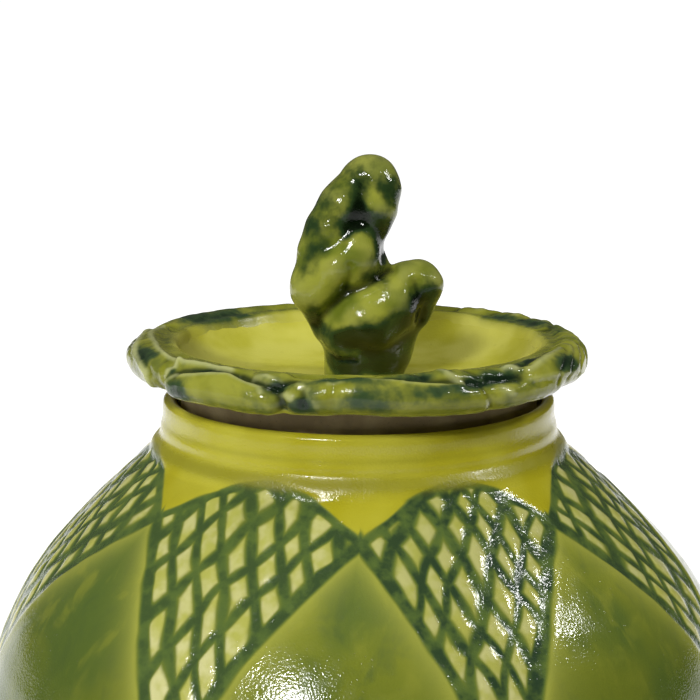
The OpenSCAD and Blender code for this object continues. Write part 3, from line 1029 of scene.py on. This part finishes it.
def make_rim():
    columns, sides = 1080, 120
    degrees = -180.0 + np.arange(columns) * 360.0 / columns
    around = np.arange(sides) * 2.0 * math.pi / sides
    mm_per_degree = ROLL_R * math.pi / 180.0
    mm_per_turn = ROLL_THICK * math.pi / 180.0
    out, up = np.cos(around)[:, None], np.sin(around)[:, None]

    # Middle and radius of every length at each angle round the lid
    tubes = []
    for stations in ROOTS:
        first, last = stations[0][0], stations[-1][0]
        endless = last - first == 360
        for turn in (0.0,) if endless else (-360.0, 0.0, 360.0):
            here = degrees + turn
            live = (here > first) & (here < last) | endless
            if not live.any():
                continue
            run = curve_through(here, stations)
            end = np.minimum(here - first, last - here) * mm_per_degree + FAR * endless
            blunt = np.clip(end / (1.1 * run[:, 2]), 0.0, 1.0)
            radius = run[:, 2] * np.sqrt(np.clip(1.0 - (1.0 - blunt) ** 2, 0.0, 1.0))
            tubes.append((run[:, 0], run[:, 1], np.where(live & (end > 0.05), radius, -FAR)))

    # A skin over the top of the bowl's wall carries the glaze down into the dish
    wall = rounded([(r, DISH_FLOOR + rise) for r, rise in BOWL[-4:]], 6)[3:]
    along = np.gradient(wall, axis=0)
    along /= np.linalg.norm(along, axis=1)[:, None]
    deep = 1.3
    middle = wall + deep * np.stack([along[:, 1], -along[:, 0]], 1) - np.array([ROLL_R, ROLL_Z])
    thick = deep + np.linspace(-0.5, 0.16, len(wall))
    skin = list(zip(middle[:-1], middle[1:], thick[:-1], thick[1:]))
    bulge = OUT_OF_ROUND * np.clip(-np.sin(np.radians(degrees + 20.0)), 0.0, None) ** 4

    def reach_at(distance):
        x, y = distance * out, distance * up
        x = np.where(x > 0, x / (1.0 + bulge / (ROLL_OUT - ROLL_R)), x)
        total = np.full(distance.shape, FAR)
        for centre_x, centre_y, radius in tubes:
            here = np.hypot(x - centre_x, (y - centre_y) * 1.07) - radius
            total = melt(total, here, 1.4)
        lining = np.full(distance.shape, FAR)
        for (x0, y0), (x1, y1), thick0, thick1 in skin:
            here, t = from_segment(x - x0, y - y0, x1 - x0, y1 - y0)
            lining = np.minimum(lining, here - thick0 - t * (thick1 - thick0))
        return melt(total, lining, 1.4)

    # Steps in from outside until the skin is met
    outermost, innermost, step = 11.0, 0.5, 0.12
    start = np.full((sides, columns), outermost)
    found = np.full((sides, columns), innermost)
    last_value = reach_at(start)
    done = np.zeros((sides, columns), bool)
    for k in range(1, int((outermost - innermost) / step) + 1):
        distance = start - k * step
        value = reach_at(distance)
        hit = ~done & (value < 0)
        drop = last_value - value
        share = last_value / np.where(np.abs(drop) < 1e-9, 1.0, drop)
        found = np.where(hit, distance + step * (1.0 - np.clip(share, 0, 1)), found)
        done |= hit
        last_value = value

    grid = np.broadcast_to(degrees[None, :], (sides, columns))
    turned_up = np.broadcast_to(np.degrees(around)[:, None], grid.shape)
    turned_up = np.where(turned_up > 270.0, turned_up - 360.0, turned_up)
    base = ring_points(ROLL_R + found * out, ROLL_Z + found * up, grid)
    on_roll = 1.0 - ease(found, 7.6, 8.6)
    # Fine unevenness of the modelled clay, then the tool's strokes over it
    height = (0.13 * ripple(base, 3.6, 41) + 0.05 * ripple(base, 1.8, 42)) * on_roll

    def on_skin(angle, tilt):
        """Distances in mm over the roll's skin, along it and round it, from a spot."""
        along_it = ((grid - angle + 180.0) % 360.0 - 180.0) * mm_per_degree
        return along_it, (turned_up - tilt) * mm_per_turn

    ring_path = [(-3, 122), (0, 86), (-3, 62), (-8, 42), (-13, 15), (-15, -15)]
    rings = [([(c + da, b) for da, b in ring_path], -0.55, 0.75) for c in RINGS]
    pads = [([(c + 3.6, 96), (c + 3.0, 72), (c - 1, 52)], 0.3, 1.1) for c in RINGS]
    cut = np.zeros(grid.shape)
    crest = np.zeros(grid.shape)
    for path, rise, half in STROKES + rings + pads:
        best = np.full(grid.shape, FAR)
        for (a0, b0), (a1, b1) in zip(path[:-1], path[1:]):
            u, v = on_skin(a0, b0)
            apart = from_segment(u, v, (a1 - a0) * mm_per_degree, (b1 - b0) * mm_per_turn)[0]
            best = np.minimum(best, apart)
        mark = hump(best, half)
        height += rise * mark * on_roll
        if rise < 0:
            cut = np.maximum(cut, min(1.0, -rise / DARKEST_CUT) * hump(best, 1.25 * half))
        else:
            crest = np.maximum(crest, min(1.0, rise / 0.7) * hump(best, 1.2 * half))
    found = soften(found, 1.2, 0.0) + height
    found = soften(found, 0.7, 0.7)
    # Keeps the roll between its allowed outside radius, top and underside
    limit_out = (ROLL_OUT + bulge - ROLL_R) / np.clip(out, 0.05, None)
    limit_up = (ROLL_TOP - ROLL_Z) / np.clip(up, 0.05, None)
    limit_down = (ROLL_Z - FLANGE_TOP - 0.25) / np.clip(-up, 0.05, None)
    found = np.minimum(np.minimum(found, limit_down), np.minimum(limit_out, limit_up))
    # Glaze pools where the skin lies below its own wide average, and thins above it
    wide = soften(np.tile(found, (3, 1)), 8.0, 8.0)[sides : 2 * sides]
    dip = wide - found
    dark = np.zeros(grid.shape)
    for angle, tilt, long, tall, amount in PATCHES:
        u, v = on_skin(angle, tilt)
        ragged = 1.0 + 0.16 * ripple(base, 4.5, int(angle + 400))
        dark += amount * hump(np.hypot(u / long, v / tall) * ragged, 1.15)
    points = ring_points(ROLL_R + found * out, ROLL_Z + found * up, grid)
    builder = Builder(("hollow", "crest", "lime", "brushed_glaze_and_painted_light"))
    inward = np.broadcast_to(ease(-out, 0.72, 0.97), grid.shape)
    under = np.broadcast_to(ease(-up, 0.75, 0.98), grid.shape)
    fields = {
        "hollow": np.clip(0.4 * np.clip(dip / 0.9, 0.0, 1.0) + 0.75 * cut, 0.0, 1.0),
        "crest": np.clip(0.9 * crest + np.clip(-dip / 1.6 - 0.3, 0.0, 1.0), 0.0, 1.0),
        "lime": np.clip(inward - np.clip(dark, 0.0, 1.0) + under, 0.0, 1.0),
        "brushed_glaze_and_painted_light": np.clip(dark, -1.0, 1.3),
    }
    index = builder.add_points(points, fields).reshape(sides, columns)
    for k in range(sides):
        builder.join(index[k], index[(k + 1) % sides])
    piece = builder.make("ginger_root_rim")
    piece.data.materials.append(root_glaze())
    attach(piece, "lid")
    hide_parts(*[f"rim_root_{k}" for k in range(1, 8)])


# ------------------------------------------------------------------- the knob

# Lobes of the knob: how softly each melts into the lobes before it, and its
# chain of balls x, y, z, radius, with z above the dish's floor
LOBES = [
    (3.0, [(1.2, 0, -2, 10.6), (1.4, 0, 3, 10.4), (2.2, 0, 9, 11.2), (2.0, 0.5, 17, 12.2),
           (-1, 1.5, 25, 11)]),
    (3.0, [(-2, 1.5, 24, 10.5), (-3.8, 1.5, 32, 10.4), (-3.2, 1.5, 40, 9.8), (-0.6, 1, 47, 9.4),
           (2.2, 0, 53.6, 7.8)]),
    (2.6, [(-9.0, -2.0, 30, 7.8), (-8.6, -2.5, 35, 7.7), (-7.3, -3, 41, 7.0), (-4.2, -3, 47.5, 6.4),
           (0.6, -2, 53.2, 5.4)]),
    (2.6, [(2.0, -1.8, 38.0, 3.8), (3.7, -3.6, 43.0, 4.4), (4.9, -4.0, 47.0, 5.1), (5.3, -2, 52, 5.8),
           (4.0, -1, 54.8, 6.0)]),
    (4.2, [(-0.6, -7.8, 36.4, 3.8), (-5.4, -8.8, 31.8, 4.6), (-11.6, -5.0, 25.2, 6.6),
           (-7.6, -1.0, 15.5, 5.7)]),
    (4.5, [(-1.0, -7.0, 38.2, 3.6), (0.8, -7.8, 33.5, 3.5), (1.4, -6.6, 29.5, 3.4)]),
    (1.2, [(-3.4, -4.5, 12.7, 7.2), (2.0, -6.2, 16.5, 9.2), (8.8, -5.2, 21.5, 8.4),
           (13.2, -3.0, 25.4, 7.0)]),
    (2.0, [(12.6, -1.0, 25.4, 6.5), (16.4, 0.0, 26.2, 6.6)]),
    (1.5, [(11.8, -6.4, 26.8, 4.2), (13.8, -5.4, 22.0, 4.2)]),
    (1.5, [(18.9, -2.8, 26.2, 4.1), (15.7, -2.2, 18.6, 3.8)]),
    (4.0, [(8.2, 0, 7.6, 6.0), (13.0, 0.0, 18.5, 5.4)]),
]
# Furrows in the knob's front: a path in x and height, depth and half width
FURROWS = [
    ([(1.0, 54.0), (0.2, 50.0), (-0.4, 45.0)], 0.7, 2.2),
    ([(-3.0, 41.0), (-6.5, 38.0), (-10.5, 35.5)], 0.4, 2.0),
    ([(-2.6, 32.5), (-2.4, 30.0), (-3.4, 27.0)], 0.8, 1.5),
    ([(9.0, 30.4), (4.1, 28.2), (-3.1, 25.0), (-8.0, 20.9), (-11.6, 15.9)], 0.9, 1.5),
    ([(15.0, 27.5), (15.6, 23.0), (17.0, 17.5)], 1.2, 1.9),
    ([(-10.2, 10.2), (-5.9, 6.7), (-0.9, 6.9)], 0.5, 0.8),
    ([(3.5, 10.5), (-2.0, 11.5)], 0.5, 2.2),
]
# Dark glaze on the knob's front, partly painted shade in its creases and at its foot, and below zero pale,
# partly painted highlights on its crests: x, height, half width, half height, how dark
KNOB_STAINS_SHADE_AND_HIGHLIGHTS = [
    (0.0, 48.5, 1.9, 5.0, 1.2), (-0.5, 43.8, 3.4, 2.6, 1.4), (4.8, 44.0, 3.4, 4.4, 1.1),
    (6.4, 35.5, 2.4, 4.8, 1.1), (8.4, 52.0, 2.6, 2.6, 1.0), (6.0, 55.2, 2.6, 1.8, 0.5),
    (-12.6, 43.0, 2.6, 3.0, 0.8), (-9.5, 37.2, 4.6, 2.2, 0.8), (-12.0, 33.0, 3.0, 3.0, 0.7),
    (-5.5, 43.6, 2.6, 2.0, 0.4), (2.8, 31.0, 2.0, 2.4, 0.4), (-6.0, 25.5, 2.0, 1.6, 0.5),
    (-3.0, 40.4, 2.0, 1.8, 1.0), (3.6, 28.6, 3.0, 1.8, 0.7), (-3.5, 24.8, 2.0, 1.2, 0.3),
    (-6.0, 20.4, 3.0, 1.4, -0.3), (-12.2, 17.4, 2.2, 3.4, 1.3), (15.8, 21.2, 3.6, 4.6, 1.5),
    (2.0, 14.0, 4.6, 3.0, 1.5), (7.6, 17.0, 7.0, 4.4, 0.85), (8.8, 8.4, 3.6, 3.0, 1.3),
    (-3.6, 12.8, 4.6, 2.6, 1.6), (-5.0, 3.6, 3.4, 1.8, 1.2), (0.5, 4.2, 2.8, 2.2, 1.2),
    (9.0, 3.8, 3.0, 2.0, 1.0), (14.0, 14.5, 3.2, 3.6, 0.9), (5.0, 50.4, 3.0, 1.8, -0.5),
    (0.4, 38.0, 2.4, 3.4, -1.6), (-5.0, 35.0, 3.5, 3.4, -0.8), (-11.0, 27.0, 4.0, 3.2, -0.8),
    (5.0, 22.0, 6.0, 2.8, -1.0), (-5.8, 17.8, 3.8, 2.4, -1.0), (11.6, 28.0, 3.0, 3.0, -0.9),
    (-15.0, 37.0, 1.8, 2.4, -0.4), (-1.5, 57.0, 6.0, 3.2, 0.35), (14.5, 31.5, 4.0, 2.2, -0.7),
    (-9.0, 49.5, 3.0, 2.6, 0.4), (20.6, 26.0, 1.6, 2.6, 0.5),
]


def capsule(p, a, b, ra, rb):
    along = b - a
    t = np.clip(((p - a) @ along) / (along @ along), 0.0, 1.0)
    return np.linalg.norm(p - a - t[..., None] * along, axis=-1) - (ra + t * (rb - ra))


def path_distance(x, z, path):
    apart = [
        from_segment(x - x0, z - z0, x1 - x0, z1 - z0)[0]
        for (x0, z0), (x1, z1) in zip(path[:-1], path[1:])
    ]
    return np.minimum.reduce(apart)


def knob_field(p):
    """Distance to the knob's skin, below zero inside. z is above the dish."""
    total = None
    for softness, balls in LOBES:
        lobe = None
        for (*a, ra), (*b, rb) in zip(balls[:-1], balls[1:]):
            piece = capsule(p, np.array(a, float), np.array(b, float), ra, rb)
            lobe = piece if lobe is None else melt(lobe, piece, 2.0)
        total = lobe if total is None else melt(total, lobe, softness)
    front = ease(-p[..., 1], 0.0, 5.0)
    for path, depth, width in FURROWS:
        total = total + depth * hump(path_distance(p[..., 0], p[..., 2], path), width) * front
    return total + 0.2 * ripple(p, 6.0, 51) + 0.05 * ripple(p, 2.4, 52)


def surface_net(field, low, step):
    """Vertices and quads of the zero surface of a sampled field."""
    sizes = np.array(field.shape) - 1
    total = np.zeros((*sizes, 3))
    hits = np.zeros(sizes)
    crossings = []
    for axis in range(3):
        order = [axis, (axis + 1) % 3, (axis + 2) % 3]
        turned_field = field.transpose(order)
        f0, f1 = turned_field[:-1], turned_field[1:]
        crossed = (f0 < 0) != (f1 < 0)
        share = np.where(crossed, f0 / np.where(crossed, f0 - f1, 1.0), 0.0)
        counts = [np.arange(n) for n in crossed.shape]
        here = np.stack(np.meshgrid(*counts, indexing="ij"), -1).astype(float)
        here[..., 0] += share
        undo = np.argsort(order)
        for j in (0, 1):
            for k in (0, 1):
                window = (slice(None), slice(j, j + crossed.shape[1] - 1), slice(k, k + crossed.shape[2] - 1))
                part = crossed[window]
                spot = here[window][..., undo]
                total += (spot * part[..., None]).transpose(*undo, 3)
                hits += part.transpose(undo)
        crossings.append((order, crossed, f0 < 0))
    used = hits > 0
    number = np.full(sizes, -1)
    number[used] = np.arange(used.sum())
    vertices = low + step * total[used] / hits[used][:, None]
    quads = []
    for order, crossed, inward in crossings:
        turned_number = number.transpose(order)
        i, j, k = np.nonzero(crossed[:, 1:-1, 1:-1])
        cells = [turned_number[i, j + dj, k + dk] for dj, dk in ((0, 0), (1, 0), (1, 1), (0, 1))]
        face = np.stack(cells, 1)
        flip = ~inward[:, 1:-1, 1:-1][i, j, k]
        face[flip] = face[flip][:, ::-1]
        quads.append(face)
    return vertices, np.concatenate(quads)


def neighbour_mean(values, edges, count):
    total = np.zeros_like(values)
    np.add.at(total, edges[:, 0], values[edges[:, 1]])
    np.add.at(total, edges[:, 1], values[edges[:, 0]])
    degree = np.bincount(edges.ravel(), minlength=count).astype(float)
    return total / degree.reshape(-1, *([1] * (values.ndim - 1)))


def slope_of(function, p, reach=0.15):
    parts = []
    for axis in range(3):
        shift = np.zeros(3)
        shift[axis] = reach
        parts.append((function(p + shift) - function(p - shift)) / (2 * reach))
    return np.stack(parts, -1)


def make_knob():
    step = 0.6
    low = np.array([-22.0, -17.0, -4.0])
    high = np.array([27.0, 15.0, 64.0])
    axes = [np.arange(low[k], high[k], step) for k in range(3)]
    grid = np.stack(np.meshgrid(*axes, indexing="ij"), -1)
    field = knob_field(grid)
    field = np.maximum(field, -(grid[..., 2] + 1.0))
    vertices, quads = surface_net(field, low, step)
    edges = np.sort(np.concatenate([quads[:, [k, (k + 1) % 4]] for k in range(4)]), axis=1)
    edges = np.unique(edges, axis=0)
    count = len(vertices)
    free = vertices[:, 2] > -0.2
    # Evens out the mesh, then pulls it back to the field's true surface
    for _ in range(2):
        smooth = neighbour_mean(vertices, edges, count)
        vertices = np.where(free[:, None], 0.4 * vertices + 0.6 * smooth, vertices)
        slope = slope_of(knob_field, vertices)
        pull = knob_field(vertices)[:, None] * slope / (slope**2).sum(1)[:, None]
        vertices = np.where(free[:, None], vertices - np.clip(pull, -step, step), vertices)
    slope = slope_of(knob_field, vertices)
    normal = slope / np.linalg.norm(slope, axis=1)[:, None]
    # As on the edging: dark in the hollows, pale on the crests
    wide = vertices.copy()
    for _ in range(60):
        wide = neighbour_mean(wide, edges, count)
    dip = ((wide - vertices) * normal).sum(1)
    x, z = vertices[:, 0], vertices[:, 2]
    front = ease(-vertices[:, 1], -3.5, 1.0)
    cut = np.zeros(count)
    for path, depth, width in FURROWS:
        mark = hump(path_distance(x, z, path), 1.05 * width) * front
        cut = np.maximum(cut, min(1.0, depth) * mark)
    dark = np.zeros(count)
    # Dark glaze with painted shade and, where below zero, painted highlights
    for middle, height, wide_x, tall, amount in KNOB_STAINS_SHADE_AND_HIGHLIGHTS:
        ragged = 1.0 + 0.14 * ripple(vertices, 5.0, int(middle * 10 + height + 700))
        mark = hump(np.hypot((x - middle) / wide_x, (z - height) / tall) * ragged, 1.2)
        dark += amount * mark * (front if height > 5 else 1.0)
    # Darker towards the knob's foot, in mottles: dark glaze together with painted shade where the stem meets
    # the dish under the lobes
    foot = 1.0 - ease(z + 2.0 * ripple(vertices, 6.0, 56), 5.0, 14.0)
    dark += foot * (0.55 + 0.85 * ripple(vertices, 4.0, 57))
    dark += 0.75 * (1.0 - front) * ease(ripple(vertices, 9.0, 55), -0.2, 0.8)
    scale = (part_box("knob_finger")[1].z / MM - DISH_FLOOR - 0.15) / z.max()
    vertices[:, 2] *= np.where(z > 0, scale, 1.0)
    vertices[:, 2] += DISH_FLOOR
    builder = Builder(("hollow", "crest", "lime", "brushed_glaze_and_painted_light"))
    builder.add_points(
        vertices,
        {
            "hollow": np.clip(0.5 * np.clip(dip / 1.1, 0.0, 1.0) + 0.55 * cut, 0.0, 1.0),
            "crest": np.clip(-dip / 1.3 - 0.15, 0.0, 1.0),
            "brushed_glaze_and_painted_light": np.clip(dark, -1.0, 2.2),
        },
    )
    builder.quads.append(quads)
    piece = builder.make("ginger_knob")
    piece.data.materials.append(knob_glaze())
    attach(piece, "lid")
    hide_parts("knob_stem", "knob_finger", "knob_bud")


# ------------------------------------------------------------------- the scene

bpy.context.scene.view_settings.view_transform = "Standard"
make_camera()
make_world()
for light in LIGHTS:
    make_light(*light)
make_floor()
make_jar()
make_foot()
make_flange()
make_dish()
make_rim()
make_knob()
